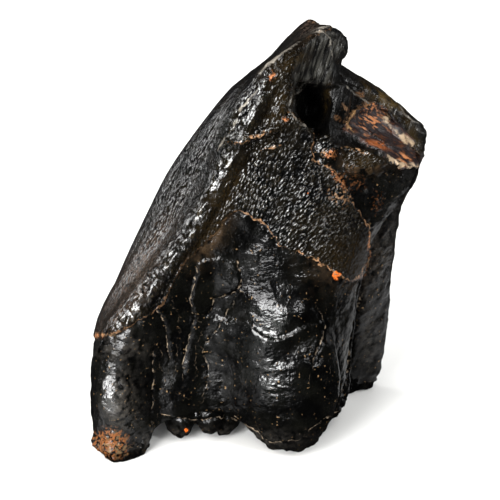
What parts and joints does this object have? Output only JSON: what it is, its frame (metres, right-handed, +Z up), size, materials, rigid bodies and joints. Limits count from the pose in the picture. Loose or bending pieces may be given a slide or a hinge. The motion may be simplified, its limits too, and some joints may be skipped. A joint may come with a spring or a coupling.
{
  "type": "fossil woolly rhino tooth",
  "caption": "Worn upper cheek tooth of a woolly rhinoceros with a high outer blade, cross crests, a round pit and broken root stumps.",
  "frame": {"origin": "middle of the tooth's bounding box, on the surface that its root stumps stand on", "axes": "+Z up from the roots to the blade, +X towards the tongue side, +Y towards the front of the jaw"},
  "size_m": [0.0648, 0.0436, 0.0809],
  "materials": {
    "tooth": "near-black mineralised enamel and root, glossy and finely wrinkled on the crown, satin on the roots, with tan and amber broken dentine"
  },
  "bodies": {
    "root": {"tooth": "tooth"}
  },
  "joints": []
}
